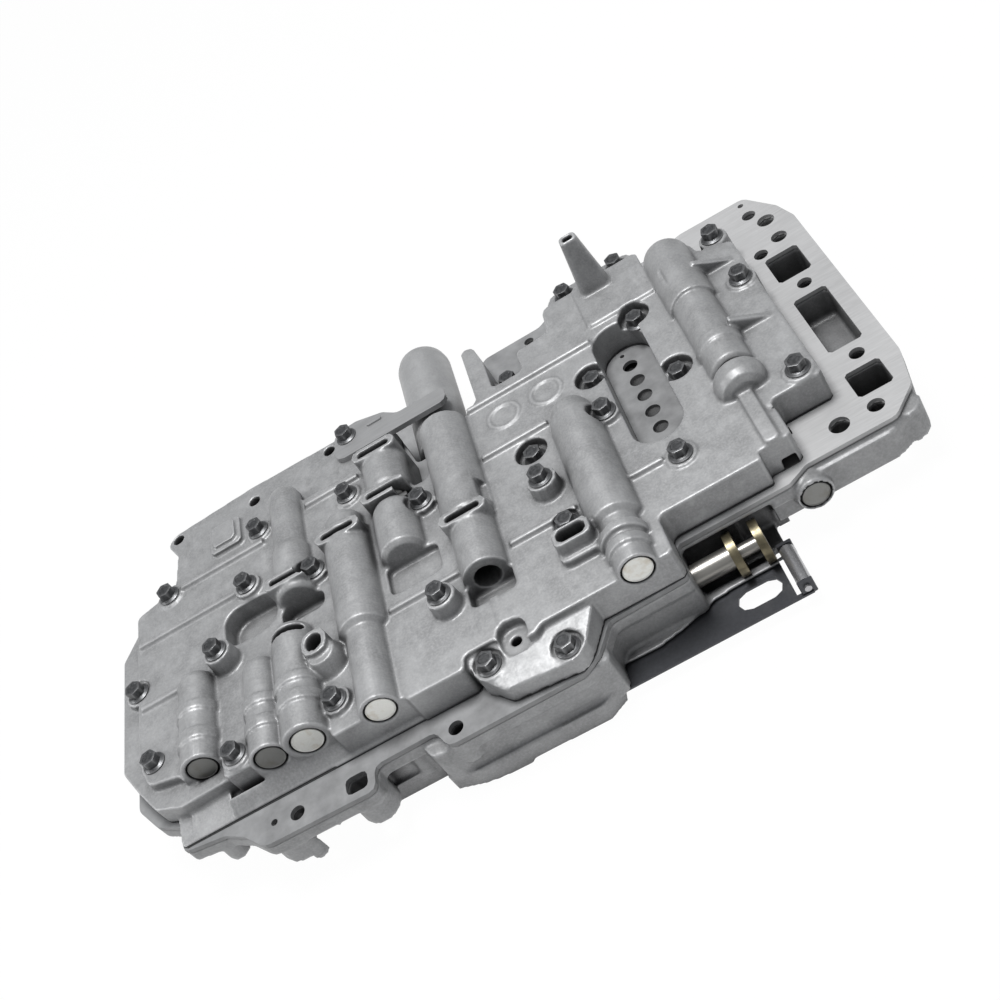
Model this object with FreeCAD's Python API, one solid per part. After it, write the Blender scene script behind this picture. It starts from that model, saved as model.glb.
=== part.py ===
import FreeCAD, Part

import math
import os

from FreeCAD import Vector

# Control unit of an automatic gearbox: an upper and a lower die casting bolted together
# over a separator plate, with sliding valves in bores that show as long humps.
# Millimetres. X runs along the length, -Y faces the front, Z is up.
# The origin lies on the flat pads that the unit rests on.

# Levels, measured up from the rest face or from the deck, the top of the separator plate
deck = 34.0
plate_thick = 2.0
gasket_thick = 0.5
skin_rise = 17.5
ledge_rise = 12.0
axis_rise = 17.0
lip_rise = 29.0
lower_flange_thick = 7.0
skirt_level = 10.0
side_skirt_level = 14.0
detent_face_level = 7.0

upper_base = deck + gasket_thick
plate_base = deck - plate_thick
lower_top = plate_base - gasket_thick
skin = deck + skin_rise
ledge = deck + ledge_rise
axis_level = deck + axis_rise
lip = deck + lip_rise

# Corners up to these radii are drawn with one flat or two flats instead of an arc
one_flat_up_to = 2.0
two_flats_up_to = 8.0

# Flange bolts, all alike above their seat
bolt_r = 2.5
bolt_gap = 0.3
thread_gap = 0.06
bolt_flange_r = 5.7
bolt_flange_thick = 1.4
bolt_flange_sides = 12
bolt_hex = 8.6
bolt_head = 5.7
boss_top_r = 7.5
boss_taper = 0.045
boss_sides = 12
bolt_bite = 14.0
pocket_r = 8.6
pocket_sides = 16
spot_face_r = 7.0

# Bolts that stand on bosses: place and rise of the seat above the deck
standing_bolts = [
    (-171.5, 80.5, 18.5), (-114.5, 91.0, 19.0), (-124.0, 53.5, 20.5), (-61.5, 79.0, 19.0),
    (-85.5, 37.0, 20.5), (-23.0, 42.0, 21.0), (-193.5, 25.5, 16.0), (-184.0, -26.5, 17.5),
    (-139.5, -49.0, 19.0), (-85.5, -50.5, 20.0), (75.5, 33.0, 20.0), (98.0, -17.5, 18.5),
    (160.0, -6.0, 18.5), (161.0, 115.5, 17.5), (161.5, 72.5, 18.5),
]
tall_bolts = [(-140.0, 11.0, 27.5), (-24.0, -30.5, 26.5), (37.0, 6.0, 26.0)]
low_bolts = [(-15.0, -69.5, 12.0), (19.5, -79.5, 9.5), (81.0, 147.0, 11.0), (112.0, 147.0, 11.0)]
pocket_bolts = [
    (35.5, 38.0, 11.5), (76.0, 66.0, 11.5), (108.0, 92.5, 11.5), (114.0, 39.0, 11.5),
    (39.5, -20.0, 16.0), (36.0, 107.0, 8.0),
]

# Valve trains: running gaps, plugs, springs and strokes
slide_gap = 0.03
plug_gap = 0.04
plug_r = 7.7
plug_thick = 6.0
plug_recess = 0.6
plug_sides = 24
spring_wall = 1.4
spring_gap = 0.5
end_gap = 0.3
touch_gap = 0.02
land_sides = 12
spring_sides = 8
spring_share = 0.34
neck_share = 0.62
port_wide = 9.0
port_long = 5.0
port_share = 0.45

# Retaining keys: flat plates dropped across a bore through a slot
key_wide = 17.6
key_thick = 3.2
key_gap = 0.2
key_below = 9.3
key_above = 2.5
slot_lip_wide = 25.0
slot_lip_deep = 9.0

# Bores along Y in the upper casting: centre x, open end, closed end, radius, where the
# valve rests and where its spring is held. The slide moves from rest towards the spring.
bores = {
    "shift_valve_a": {"x": -158.0, "mouth": -45.6, "end": 8.0, "r": 6.5},
    "shift_valve_b": {"x": -122.4, "mouth": -60.6, "end": -6.0, "r": 6.0},
    "shift_valve_c": {"x": -103.2, "mouth": -62.2, "end": 3.0, "r": 7.0, "key": 0.0, "plug": 8.2},
    "shift_valve_d": {"x": -66.3, "mouth": -67.0, "end": 48.0, "r": 6.5, "key": 45.0},
    "throttle_valve": {"x": 60.4, "mouth": -67.0, "end": 42.0, "r": 6.5},
    "lockup_valve": {"x": 136.0, "mouth": 123.0, "end": 2.0, "r": 7.5},
}
keyed_bores = {
    "regulator_valve": {"x": -2.7, "mouth": -25.0, "end": 84.0, "r": 6.5, "key": 10.0},
    "coast_valve": {"x": -97.5, "mouth": 29.0, "end": 99.0, "r": 6.0, "key": 33.5},
}
relay_x = -38.5
relay_r = 7.5
relay_front = 19.0
relay_back = 97.5
relay_keys = (55.5, 89.5)

# Humps over the bores: front, back, radius and softening of the front and back end
hump_steps = {
    "shift_valve_a": [(-45.6, 12, 10.0, 0, 6), (-34, -28, 11.0, 0, 0), (-16, -11, 11.0, 0, 0)],
    "shift_valve_b": [(-60.6, -2, 9.5, 0, 5), (-48, -42, 10.6, 0, 0), (-34, -29, 10.6, 0, 0)],
    "shift_valve_c": [(-62.2, 7, 11.3, 0, 5), (-46, -40, 12.4, 0, 0), (-34, -29, 12.4, 0, 0)],
    "shift_valve_d": [(-67, -18, 9.6, 0, 0), (-20, 52, 12.5, 2, 2), (50, 64, 10.8, 0, 6)],
    "throttle_valve": [(-67, -50, 9.2, 0, 0), (-58, -53, 10.6, 0, 0), (-50, -45, 11.6, 0, 0),
                       (-44, -38, 9.6, 0, 0), (-38, 42, 12.5, 2, 2), (40, 52, 10.6, 0, 5)],
    "lockup_valve": [(72, 123, 12.4, 0, 4), (14, 72, 10.8, 2, 0), (-3, 11, 12.4, 5, 2), (30, 36, 11.8, 0, 0)],
    "regulator_valve": [(-25, 12, 11.6, 0, 0), (12, 89, 13.0, 1.5, 2)],
    "coast_valve": [(60, 110, 9.2, 0, 6), (26, 64, 10.8, 1.5, 5)],
    "relay_valve": [(14, 50, 12.0, 2.5, 4), (58, 93, 12.0, 5, 3)],
}
low_hump = (-2.7, -56.0, -39.0, 7.0, 11.0)
shoulder_notch = (6.5, 12.0, 18.0, 32.0, 1.0, 9.0)
crest_slit = (128.5, 130.5, 86.0, 100.0)

# Outline of the separator plate, shared by both gaskets and the lower flange
plate_outline = [
    (142, -42, 3), (185, -42, 6), (198, -29, 6), (203, -6, 8), (203, 122, 8), (199, 137, 6),
    (187, 158, 5), (150, 159, 4), (128, 154, 6), (66, 154, 6), (60, 150, 6), (27, 150, 3),
    (17.5, 144, 3), (17.5, 98, 3), (-27, 98, 3), (-33, 126, 4), (-46, 137, 6), (-120, 139, 20),
    (-171, 136, 6), (-176, 130, 4), (-170, 118, 5), (-172, 100, 6), (-196, 78, 6), (-206, 56, 6),
    (-206, -32, 8), (-196, -47, 6), (-182, -55, 4), (-182, -69, 3), (-160, -72, 5),
    (-150, -78, 5), (-140, -89, 7), (-83, -90, 4), (-82, -77.5, 4), (-51, -77, 4),
    (-46, -88, 5), (20, -88, 5), (29, -82, 5), (38, -68, 4), (77, -67, 3), (77, -47.5, 2),
    (132, -47.5, 2),
]

# Outline of the upper casting at its full height
skin_outline = [
    (-193, 79, 3), (-193, -20, 6), (-188, -38, 5), (-171, -42, 3), (-169, -45.6, 1), (-147, -45.6, 1),
    (-147, -58, 2), (-133, -58, 1), (-132, -60.6, 1), (-113, -60.6, 1), (-113, -62.2, 1), (-92, -62.2, 1),
    (-91, -67, 1.5), (-54, -67, 1), (-53, -69, 0.8), (-24, -69.5, 3), (-24, -62, 3),
    (-8, -62, 3), (-4, -70, 3), (10, -70, 3), (14, -67, 3), (77, -67, 2),
    (77, -44, 3), (127, -44, 1), (127, -39, 1), (143, -39, 2), (143, -14, 1.5), (168, -14, 2),
    (168, 106, 4), (151, 112, 4), (149, 123, 4), (124, 123, 1), (124, 138, 5), (67, 138, 5),
    (65, 117, 3), (46, 116, 2), (46, 99, 2), (28, 99, 2), (28, 124, 5), (25, 141, 4),
    (18, 142, 2), (18, 97, 3), (10, 89, 2), (-15.5, 89, 2), (-17, 60, 3), (-27, 60, 3),
    (-27, 97, 3), (-104, 97, 3), (-111, 86, 4), (-168, 86, 6),
]

# Thinner ledge of the upper casting round its left end and along the back
ledge_outline = [
    (-206, 58, 5), (-206, -17, 8), (-197, -34, 8), (-188, -49, 5), (-174, -55, 4),
    (-60, -50, 2), (-32, 60, 2), (-32, 124, 4), (-46, 137, 6), (-120, 139, 20), (-171, 136, 6),
    (-176, 130, 4), (-170, 118, 5), (-172, 96, 5), (-196, 74, 5),
]

# Straight foot along the front of the upper casting and the slopes that rise from it:
# from x to x, how far back, and the rise at the back
foot_outline = [(-181.5, -44, 0.5), (-181.5, -68, 2), (-50.5, -68.4, 2), (-50.5, -44, 0.5)]
foot_rise = 1.6
foot_slopes = [(-181.5, -174.0, -46.0, 5.0), (-174.0, -152.0, -44.0, 8.0), (-152.0, -91.0, -61.5, 8.5)]

# Front lobe of the upper casting, a nose that slopes down to the joint
lobe_outline = [
    (-23, -60, 3), (-23, -71, 6), (-12, -84, 4), (20, -87, 5), (27.5, -82, 4), (36, -68, 3),
    (36, -60, 3),
]
lobe_rise = 9.0
lobe_back_rise = 15.0
lobe_back = -62.0
lobe_front = -86.0

# Low lug at the back that carries two bolts
lug_outline = [(66, 130, 2), (125, 130, 2), (121, 154, 7), (72, 154, 7)]

# Small forms on the upper casting
rib_wide = 2.4
rib_rise = 2.2
rib_top = 1.2
ribs = [
    (12, 83, 90), (-86, -54, 90), (12, 48, 50), (-52, -14, -14.5), (12, 46, -14.5), (74, 90, -14.5),
    (-191, -131, 54.5), (-166, -113, 81.5), (-190, -151, 10.5),
]
nozzle_place = (98.0, 130.0)
nozzle_rise = 34.5
nozzle_tip = 9.0
nozzle_steps = [(-1.0, 21.0, 15.0), (3.0, 16.5, 12.0)]
nozzle_bore = (2.6, 2.1)
oval_tower = (-87.5, -19.0)
square_tower = (41.5, -38.0)
window_box = (82.0, 108.0, -1.0, 94.0)
ring_places = [(29.0, 73.0), (53.0, 73.0)]
ring_out_r = 9.0
ring_in_r = 7.6
ring_rise = 0.9
webs = [(145.0, 166.0, 90.0), (145.0, 166.0, 37.0)]
web_thick = 3.5
web_rise = 10.0

# Towers: half width and half depth of wall and hole
oval_wall = (6.5, 7.5)
oval_hole = (4.2, 5.2)
oval_flare = (12.5, 7.0, -5.0)
square_wall = (9.2, 5.7)
square_hole = (7.0, 3.7)
square_skirt = (-10.0, 12.0, -9.0, 5.7, 7.0)
tower_port = (5.0, 3.0)
tower_gasket_port = (6.5, 3.4)

# Hole in the small nose, and the pad under the rear pocket bolt: x, y, rise, radius
nose_hole = (-0.5, -64.0, 2.6)
rear_pad = (36.0, 107.0, 8.0, 9.0)

# Oil trough under the window: margins at the sides, front and back, and depth
trough_side = 5.0
trough_front = 16.0
trough_back = 1.0
trough_deep = 9.0
trough_corner = 4.0

# Recesses let into the top: x and y range, floor above the deck, corner radius
scoop_boxes = [
    (-140.5, -110.2, 19.5, 45.0, 6.0, 9.0), (-108.0, -84.0, 14.0, 26.0, 9.0, 4.0),
    (-50.0, -22.0, -5.0, 14.0, 13.0, 3.0), (-14.0, 9.0, -39.0, -25.0, 9.0, 2.0),
    (-7.0, 7.0, -72.0, -56.0, 12.0, 5.0), (-33.0, -24.5, 48.5, 56.5, 9.0, 1.0),
]
scoop_clear = 16.0
corner_notch = (134.0, 141.0, -40.0, -33.0, 6.0)

# Raised forms: x and y range, foot and top above the deck, corner radius
raised_boxes = [
    (-147.0, -128.0, 98.0, 119.0, 11.0, 15.0, 2.0), (-144.5, -130.5, 100.5, 116.5, 14.0, 17.0, 2.0),
    (131.5, 138.5, -39.0, -1.0, 16.5, 19.7, 1.5), (85.5, 124.0, 100.0, 138.0, 16.5, 19.1, 2.0),
    (62.0, 77.0, 55.0, 77.0, 11.0, 17.5, 2.0),
]
corner_boss = (115.0, -34.0, 10.0, 17.0)
ledge_holes = [(-169.0, 131.0), (-119.0, 126.5), (-70.0, 132.0)]
flange_hole_r = 3.4

# Openings in the separator plate: ports, case bolt holes, metering holes under the window
port_corner = 1.5
port_deep = 16.0
deck_ports = [(177.2, 194.8, 77.0, 99.5), (177.0, 194.0, 13.5, 59.5), (176.4, 193.4, -22.0, -4.0)]
case_bolt_r = 3.7
deck_holes = [
    (184.0, 153.0, 1.6), (184.5, 141.5, 3.7), (190.0, 130.0, 4.6), (190.5, 112.0, 4.2),
    (178.0, 106.0, 3.7), (187.0, 68.5, 3.7), (187.0, 5.0, 3.7), (180.5, -30.5, 4.0),
    (163.0, -30.5, 4.8), (52.0, 143.5, 2.8), (-134.0, -79.0, 1.7), (-122.0, -80.5, 3.7),
    (-41.0, -80.5, 3.7), (-204.0, -20.0, 1.6),
]
front_slot = (-91.5, -81.5)
window_holes = [(94.5, 80.0, 4.0), (94.5, 67.0, 4.0), (94.5, 54.0, 4.0), (94.5, 40.5, 4.0),
                (94.5, 27.5, 4.0), (93.0, 90.0, 1.2)]

# Strip that covers the gap behind the regulator bore
strip_thick = 3.0
strip_bolt = (-57.0, 130.5)
strip_mark = (-44.0, -35.0, 128.5, 131.0, 0.8)
strip_outline = [
    (-66, 114.5, 5), (2.5, 114.5, 4), (2.5, 126.5, 3), (-26, 126.5, 6), (-34, 134, 5),
    (-50, 139, 5), (-64, 138, 6),
]

# Lower casting
skirt_outline = [
    (77, -45, 2), (181, -45, 6), (196, -36, 8), (200, -8, 8), (200, 124, 8), (184, 153, 8),
    (150, 155, 6), (128, 150, 6), (66, 150, 6), (30, 146, 4), (19.5, 141, 3), (19.5, 92, 3),
    (-30, 92, 3), (-36, 120, 5), (-50, 132, 6), (-120, 134, 15), (-166, 130, 8), (-190, 72, 8),
    (-201, 52, 8), (-201, -30, 10), (-176, -58, 6), (-150, -66, 5), (-100, -70, 6),
    (-62, -73, 4), (-56, -86, 5), (24, -86, 6), (36, -66, 4), (76, -63, 2),
]
valve_block = (34.0, 77.0, -66.0, -40.0)
front_bosses = [
    (-131.0, -76.5, 12.0, 13.0), (-91.0, -80.0, 9.5, 12.0), (-164.0, -66.0, 5.5, 15.0),
    (-126.0, -84.0, 4.0, 9.0), (-110.0, -78.0, 7.0, 19.0), (-66.0, -70.0, 5.0, 10.0),
    (-41.0, -80.0, 8.5, 18.0), (186.0, 5.0, 8.0, 16.0), (190.0, -34.0, 8.0, 14.0),
]
relief_x = 140.0
relief_mouth = -50.0
relief_end = 12.0
relief_r = 6.0
relief_plug_r = 7.2
relief_level = 22.5
foot_places = [(-168.0, -24.0), (-150.0, 98.0), (170.0, -18.0), (166.0, 124.0)]
foot_r = 9.0
rim_box = (-57.0, 57.0, -40.0, 40.0)
rim_round = 22.0
rim_wall = 6.0
strainer_holes = [(-44.0, 0.0), (44.0, 0.0)]
strainer_boss_r = 7.5
strainer_hole_r = 2.6
strainer_hole_deep = 14.0
pocket_cols = 9
pocket_rows = 4
pocket_start = (-186.0, -40.0)
pocket_size = (36.0, 34.0)
pocket_rib = 6.0
pocket_roof = 20.0
pocket_corner = 2.0

# Large accumulator at the back
accumulator_x = -10.4
accumulator_level = 29.0
accumulator_r = 15.2
accumulator_front = 98.6
accumulator_back = 188.0
accumulator_dome = 11.0
accumulator_bore_r = 12.0
accumulator_bore_back = 178.0
piston_long = 20.0
piston_sides = 16

# Manual valve
manual_r = 5.5
manual_y = -52.5
manual_level = 16.8
manual_bore_long = 122.0
collar_one = 18.5
collar_two = 31.0
collar_thick = 4.0
collar_r = 10.5
block_clear = 0.4
lever_recess = (77.0, 121.0, -60.0, -35.5, 1.2)
lever_wall = (77.0, 125.0, -36.0, -30.5, 2.0)
lever_shelf = (77.0, 118.0, -49.0, -33.0, 1.0, 5.0)
detent_pad = (-2.0, 32.0, -85.0, -46.0)
side_cut = (58.0, 240.0, -80.0, 210.0)

# Detent spring with its roller
detent_thick = 1.2
detent_outline = [
    (0, -83, 4), (121, -83, 2), (121, -56.4, 1), (84, -60, 10), (60, -62, 10), (32, -60, 4),
    (30, -50, 4), (0, -50, 4),
]
detent_slot = (88.0, 109.0, -76.0, -65.0)
detent_screws_at = [(14.0, -62.5), (14.0, -76.0)]
screw_head = 4.2
screw_bite = 12.0
roller_x = 117.5
roller_level = 10.5
roller_r = 3.4
pin_r = 1.6
ear_wide = 7.0
ear_thick = 1.6
ear_places = (-82.5, -58.0)


def corner_path(start, middle, end, radius):
    """Edges of one corner: a flat, two flats or a true arc, as the radius grows."""
    if radius > two_flats_up_to:
        return [Part.Arc(start, middle, end).toShape()]
    if radius > one_flat_up_to:
        return [Part.LineSegment(start, middle).toShape(), Part.LineSegment(middle, end).toShape()]
    return [Part.LineSegment(start, end).toShape()]


def rounded_wire(corners, level):
    """Closed wire through (x, y, radius) corners, each corner softened."""
    count = len(corners)
    spans = []
    for i in range(count):
        x, y, radius = corners[i]
        here = Vector(x, y, level)
        before = Vector(corners[i - 1][0], corners[i - 1][1], level) - here
        after = Vector(corners[(i + 1) % count][0], corners[(i + 1) % count][1], level) - here
        half = before.getAngle(after) / 2
        reach = min(radius / math.tan(half), 0.48 * before.Length, 0.48 * after.Length)
        size = reach * math.tan(half)
        inward = (before.normalize() + after.normalize()).normalize()
        middle = here + inward * (size / math.sin(half) - size)
        spans.append((here + before * reach, middle, here + after * reach, radius))
    edges = []
    for i in range(count):
        edges += corner_path(*spans[i])
        end = spans[i][2]
        following = spans[(i + 1) % count][0]
        if (following - end).Length > 1e-4:
            edges.append(Part.LineSegment(end, following).toShape())
    return Part.Wire(edges)


def slab(corners, low, high):
    """Plate between two levels with rounded corners."""
    return Part.Face(rounded_wire(corners, low)).extrude(Vector(0, 0, high - low))


def box(x0, x1, y0, y1, z0, z1):
    return Part.makeBox(x1 - x0, y1 - y0, z1 - z0, Vector(x0, y0, z0))


def round_box(x0, x1, y0, y1, z0, z1, radius):
    corners = [(x0, y0, radius), (x1, y0, radius), (x1, y1, radius), (x0, y1, radius)]
    return slab(corners, z0, z1)


def post(x, y, low, high, radius):
    return Part.makeCylinder(radius, high - low, Vector(x, y, low))


def frustum(x, y, low, high, low_r, high_r, sides):
    """Upright tapered bar with flat sides, its corners on the two radii."""
    rings = []
    for level, radius in ((low, low_r), (high, high_r)):
        turns = [2 * math.pi * i / sides for i in range(sides + 1)]
        rings.append([Vector(x + radius * math.cos(a), y + radius * math.sin(a), level) for a in turns])
        rings[-1][-1] = rings[-1][0]
    under, over = rings
    faces = [Part.Face(Part.makePolygon(ring)) for ring in rings]
    for i in range(sides):
        faces.append(Part.Face(Part.makePolygon([under[i], under[i + 1], over[i + 1], over[i], under[i]])))
    body = Part.makeSolid(Part.makeShell(faces))
    return body if body.Volume > 0 else body.reversed()


def prism(x, y, low, high, radius, sides=6):
    return frustum(x, y, low, high, radius, radius, sides)


def bar(x, front, back, radius, level, sides):
    """Bar along Y with flat sides, its corners on the radius."""
    turns = [2 * math.pi * i / sides for i in range(sides + 1)]
    ring = [Vector(x + radius * math.cos(a), front, level + radius * math.sin(a)) for a in turns]
    return Part.Face(Part.makePolygon(ring)).extrude(Vector(0, back - front, 0))


def boss(x, y, low, high, top_r=boss_top_r, taper=boss_taper):
    """Tapered round boss, drawn with flats."""
    return frustum(x, y, low, high, top_r + (high - low) * taper, top_r, boss_sides)


def turned(x, level, profile):
    """Solid of (y, radius) steps turned about an axis along Y."""
    points = [Vector(0, profile[0][0], 0)]
    points += [Vector(radius, y, 0) for y, radius in profile]
    points += [Vector(0, profile[-1][0], 0), Vector(0, profile[0][0], 0)]
    path = []
    for start, end in zip(points, points[1:]):
        if (end - start).Length > 1e-6:
            path.append(Part.LineSegment(start, end).toShape())
    body = Part.Face(Part.Wire(path)).revolve(Vector(0, 0, 0), Vector(0, 1, 0), 360)
    body.translate(Vector(x, 0, level))
    return body


def hump(x, front, back, radius, soft_front, soft_back, level=axis_level):
    """Bar along Y with softened ends, the outer wall of a valve bore."""
    profile = [(front + y, radius - lost) for y, lost in soft_end(soft_front)]
    profile += [(back - y, radius - lost) for y, lost in reversed(soft_end(soft_back))]
    return turned(x, level, profile)


def soft_end(size):
    """Steps (along, inward) that round an end off, more of them the larger it is."""
    if size <= 0:
        return [(0.0, 0.0)]
    count = 1 if size < 3 else 2 if size < 9 else 3
    turns = [math.pi / 2 * i / count for i in range(count + 1)]
    return [(size - size * math.cos(a), size - size * math.sin(a)) for a in turns]


def joined(shapes):
    whole = shapes[0].multiFuse(shapes[1:])
    return whole.removeSplitter()


def cut_all(body, tools):
    return body.cut(Part.makeCompound(tools)) if tools else body


def train_places():
    """Rest end, spring end, centre, radius and level of every sprung valve."""
    half_key = key_thick / 2
    places = {}
    for name, b in bores.items():
        way = 1 if b["end"] > b["mouth"] else -1
        rest = b["mouth"] + way * (plug_recess + plug_thick)
        stop = b["key"] - half_key if "key" in b else b["end"]
        places[name] = (b["x"], rest, stop, b["r"], axis_level)
    for name, b in keyed_bores.items():
        places[name] = (b["x"], b["key"] + half_key, b["end"], b["r"], axis_level)
    front_key, back_key = relay_keys
    places["relay_valve"] = (relay_x, relay_front, front_key - half_key, relay_r, axis_level)
    places["timing_valve"] = (relay_x, front_key + half_key, back_key - half_key, relay_r, axis_level)
    places["relief_valve"] = (relief_x, relief_mouth + plug_recess + plug_thick, relief_end,
                              relief_r, relief_level)
    return places


def key_places():
    """Centre x, y and half width of every retaining key."""
    found = [(b["x"], b["key"]) for b in list(bores.values()) + list(keyed_bores.values()) if "key" in b]
    return found + [(relay_x, y) for y in relay_keys]


def valve_and_spring(x, rest, stop, radius, level):
    """Two-land valve and the plain sleeve that stands for its coil spring."""
    way = 1 if stop > rest else -1
    span = abs(stop - rest) - 2 * end_gap
    spring_long = span * spring_share
    valve_long = span - spring_long
    land = radius - slide_gap
    start = rest + way * end_gap
    lands = []
    for begin, end, size in ((0.0, 0.3, land), (0.3, 0.62, land * neck_share), (0.62, 1.0, land)):
        low, high = sorted((start + way * begin * valve_long, start + way * end * valve_long))
        lands.append(bar(x, low, high, size, level, land_sides))
    outer = radius - spring_gap
    low, high = sorted((start + way * (valve_long + touch_gap), stop - way * end_gap))
    hollow = bar(x, low, high, outer - spring_wall, level, spring_sides)
    return joined(lands), bar(x, low, high, outer, level, spring_sides).cut(hollow)


def bolt_hole(x, y, low, high, radius=bolt_r + bolt_gap):
    return prism(x, y, low, high, radius)


def flange_bolt(x, y, seat, tip, head=bolt_head):
    """Hexagon flange bolt standing on its seat, with its shank down to the tip."""
    shank = prism(x, y, tip, seat, bolt_r)
    collar = prism(x, y, seat, seat + bolt_flange_thick, bolt_flange_r, bolt_flange_sides)
    hexagon = prism(x, y, seat + bolt_flange_thick, seat + head, bolt_hex / 2 / math.cos(math.pi / 6))
    return joined([shank, collar, hexagon])


def all_bolts():
    return standing_bolts + tall_bolts + low_bolts + pocket_bolts


def clear_holes(low, high):
    """Clearance holes of every joint bolt between two levels."""
    return [bolt_hole(x, y, low, high) for x, y, rise in all_bolts()]


def joint_slots(low, high):
    """Feed opening between the castings, one under each valve chamber."""
    cuts = []
    for x, rest, stop, radius, level in train_places().values():
        y = rest + (stop - rest) * port_share
        cuts.append(box(x - port_wide / 2, x + port_wide / 2, y - port_long / 2, y + port_long / 2, low, high))
    return cuts


def rib(x0, x1, y):
    """Low rib along X with sloping flanks, standing out of the skin."""
    section = [(-rib_wide, -1.0), (-rib_top, rib_rise), (rib_top, rib_rise), (rib_wide, -1.0), (-rib_wide, -1.0)]
    points = [Vector(x0, y + across, skin + up) for across, up in section]
    return Part.Face(Part.makePolygon(points)).extrude(Vector(x1 - x0, 0, 0))


def web(x0, x1, y):
    """Triangular web beside a hump, falling away from it."""
    points = [Vector(x0, y, skin - 1), Vector(x1, y, skin - 1), Vector(x0, y, skin + web_rise), Vector(x0, y, skin - 1)]
    return Part.Face(Part.makePolygon(points)).extrude(Vector(0, web_thick, 0))


def nozzle():
    """Square tapered outlet that stands up behind the window."""
    x, y = nozzle_place
    tip = (nozzle_rise, nozzle_tip, nozzle_tip * 0.8)
    wires = []
    for rise, wide, deep in nozzle_steps + [tip]:
        corners = [(x + side * wide / 2, y + end * deep / 2, wide * 0.18)
                   for side, end in ((-1, -1), (1, -1), (1, 1), (-1, 1))]
        wires.append(rounded_wire(corners, skin + rise))
    return Part.makeLoft(wires, True, True)


def lobe():
    """Front nose of the upper casting: flat outline cut by a falling plane."""
    body = slab(lobe_outline, upper_base, skin)
    x0, x1 = lobe_outline[0][0] - 9, lobe_outline[-1][0] + 9
    high = skin + 9
    rear = lobe_back + 30
    side = [(lobe_front, deck + lobe_rise), (lobe_back, deck + lobe_back_rise), (rear, deck + lobe_back_rise),
            (rear, high), (lobe_front - 9, high), (lobe_front - 9, deck + lobe_rise), (lobe_front, deck + lobe_rise)]
    above = Part.Face(Part.makePolygon([Vector(x0, y, z) for y, z in side])).extrude(Vector(x1 - x0, 0, 0))
    return body.cut(above)


def foot():
    """Thin straight foot along the front with slopes that fall to it."""
    shapes = [slab(foot_outline, upper_base, deck + foot_rise)]
    front = foot_outline[1][1] + 0.6
    for x0, x1, back, rise in foot_slopes:
        side = [(back, upper_base), (front, upper_base), (front, deck + foot_rise), (back, deck + rise), (back, upper_base)]
        shapes.append(Part.Face(Part.makePolygon([Vector(x0, y, z) for y, z in side])).extrude(Vector(x1 - x0, 0, 0)))
    return shapes


def hump_x(name):
    found = dict(bores, **keyed_bores)
    return found[name]["x"] if name in found else relay_x


def upper_humps():
    shapes = [hump(hump_x(name), *step) for name, steps in hump_steps.items() for step in steps]
    x, front, back, radius, rise = low_hump
    return shapes + [hump(x, front, back, radius, 0, 0, deck + rise)]


def slot_lips():
    """Raised lips round the slots that the retaining keys drop into."""
    shapes = []
    for x, y in key_places():
        if (x, y) != (bores["shift_valve_c"]["x"], bores["shift_valve_c"]["key"]):
            shapes.append(round_box(x - slot_lip_wide / 2, x + slot_lip_wide / 2, y - slot_lip_deep / 2,
                                    y + slot_lip_deep / 2, skin - 2, lip, slot_lip_deep * 0.42))
    return shapes


def key_slots():
    cuts = []
    for x, y in key_places():
        half = key_wide / 2 + key_gap
        deep = key_thick / 2 + key_gap
        cuts.append(box(x - half, x + half, y - deep, y + deep, axis_level - key_below - key_gap, lip + 1))
    return cuts


def side_box(x, y, halves, low, high, radius):
    wide, deep = halves
    return round_box(x - wide, x + wide, y - deep, y + deep, low, high, radius)


def towers():
    """Upstanding port collars: one oval, one rectangular."""
    x, y = oval_tower
    oval = side_box(x, y, oval_wall, skin - 3, lip, 5)
    wide, narrow, shift = oval_flare
    flare = Part.makeCone(wide, narrow, lip - skin, Vector(x + 1, y + shift, skin - 3))
    x, y = square_tower
    square = side_box(x, y, square_wall, skin - 2, lip, 3.4)
    left, right, front, back, drop = square_skirt
    skirt = round_box(x + left, x + right, y + front, y + back, skin - 2, lip - drop, 4)
    return [oval, flare, square, skirt]


def tower_holes():
    low = upper_base - 1
    oval = side_box(oval_tower[0], oval_tower[1], oval_hole, low, lip + 1, 3.9)
    square = side_box(square_tower[0], square_tower[1], square_hole, low, lip + 1, 2)
    tip = side_box(nozzle_place[0], nozzle_place[1], nozzle_bore, low, skin + nozzle_rise + 1, 0.8)
    return [oval, square, tip]


def window(low, high):
    x0, x1, y0, y1 = window_box
    return round_box(x0, x1, y0, y1, low, high, (x1 - x0) / 2 - 0.01)


def trough(low, high):
    x0, x1, y0, y1 = window_box
    return round_box(x0 + trough_side, x1 - trough_side, y0 + trough_front, y1 - trough_back, low, high, trough_corner)


def scoops():
    """Recesses let into the top of the upper casting."""
    cuts = [round_box(x0, x1, y0, y1, deck + floor, skin + scoop_clear, radius)
            for x0, x1, y0, y1, floor, radius in scoop_boxes]
    x0, x1, y0, y1, rise = corner_notch
    cuts.append(box(x0, x1, y0, y1, upper_base - 1, deck + rise))
    x0, x1, y0, y1, low, high = shoulder_notch
    cuts.append(box(x0, x1, y0, y1, skin + low, skin + high))
    x0, x1, y0, y1 = crest_slit
    cuts.append(box(x0, x1, y0, y1, skin + low + 8, lip + 4))
    return cuts


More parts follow.
